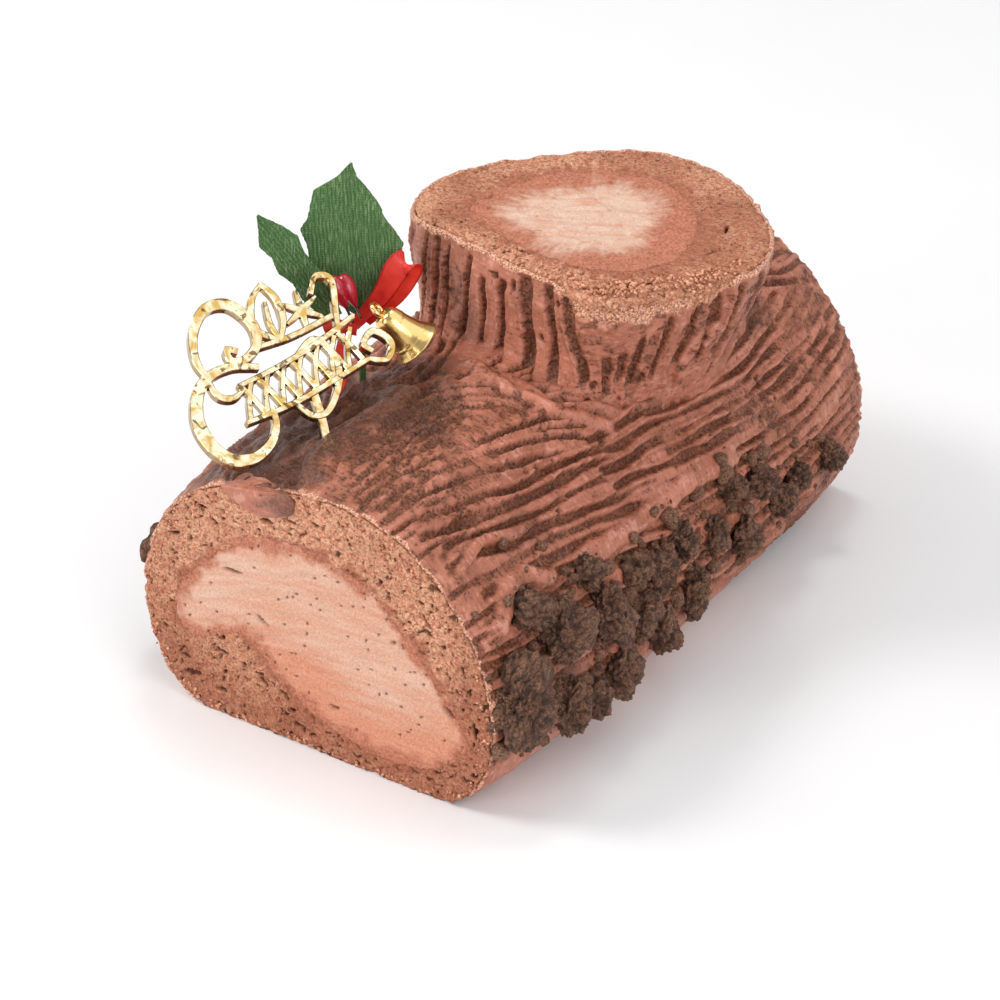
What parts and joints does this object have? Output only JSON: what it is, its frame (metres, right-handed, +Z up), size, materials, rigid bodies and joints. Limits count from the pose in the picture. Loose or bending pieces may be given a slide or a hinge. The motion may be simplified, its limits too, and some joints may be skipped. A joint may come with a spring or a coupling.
{
  "type": "yule log cake",
  "caption": "Rolled chocolate sponge log with a short upright branch, fork-combed icing like bark, cookie chunks along its sides, and gold and holly picks.",
  "frame": {"origin": "middle of the log's flat underside", "axes": "+Y along the log, away from the front cut face; +Z up; +X to the right of someone who looks at the front cut face"},
  "size_m": [0.1055, 0.1511, 0.1034],
  "materials": {
    "sponge": "open chocolate sponge crumb",
    "cream": "soft, streaky whipped cream",
    "icing": "fork-combed chocolate buttercream with a soft sheen",
    "cookie": "crumbly dark cocoa cookie",
    "gold": "bright gold-plated plastic",
    "bell": "satin gold",
    "leaf": "stiff woven cloth",
    "wire": "green paper-wrapped wire",
    "berry": "glossy lacquer",
    "ribbon": "red organza ribbon"
  },
  "bodies": {
    "root": {"bell": "bell", "bell_clapper": "bell", "berry_1": "berry", "berry_2": "berry", "branch_filling": "cream", "branch_sponge": "sponge", "cookie_chunk_01": "cookie", "cookie_chunk_02": "cookie", "cookie_chunk_03": "cookie", "cookie_chunk_04": "cookie", "cookie_chunk_05": "cookie", "cookie_chunk_06": "cookie", "cookie_chunk_07": "cookie", "cookie_chunk_08": "cookie", "cookie_chunk_09": "cookie", "cookie_chunk_10": "cookie", "cookie_chunk_11": "cookie", "cookie_chunk_12": "cookie", "cookie_chunk_13": "cookie", "cookie_chunk_14": "cookie", "cookie_chunk_15": "cookie", "cookie_chunk_16": "cookie", "cookie_chunk_17": "cookie", "cookie_chunk_18": "cookie", "cookie_chunk_19": "cookie", "cookie_chunk_20": "cookie", "cookie_chunk_21": "cookie", "cookie_chunk_22": "cookie", "cookie_chunk_23": "cookie", "cookie_chunk_24": "cookie", "cookie_chunk_25": "cookie", "cookie_chunk_26": "cookie", "cookie_chunk_27": "cookie", "cookie_chunk_28": "cookie", "cookie_chunk_29": "cookie", "cookie_chunk_30": "cookie", "cookie_chunk_31": "cookie", "cookie_chunk_32": "cookie", "cookie_chunk_33": "cookie", "gold_pick": "gold", "holly_leaf_1": "leaf", "holly_leaf_2": "leaf", "icing": "icing", "log_filling": "cream", "log_sponge": "sponge", "ornament_wire": "wire", "ribbon_band": "ribbon", "ribbon_loop": "ribbon", "ribbon_tail": "ribbon"}
  },
  "joints": []
}
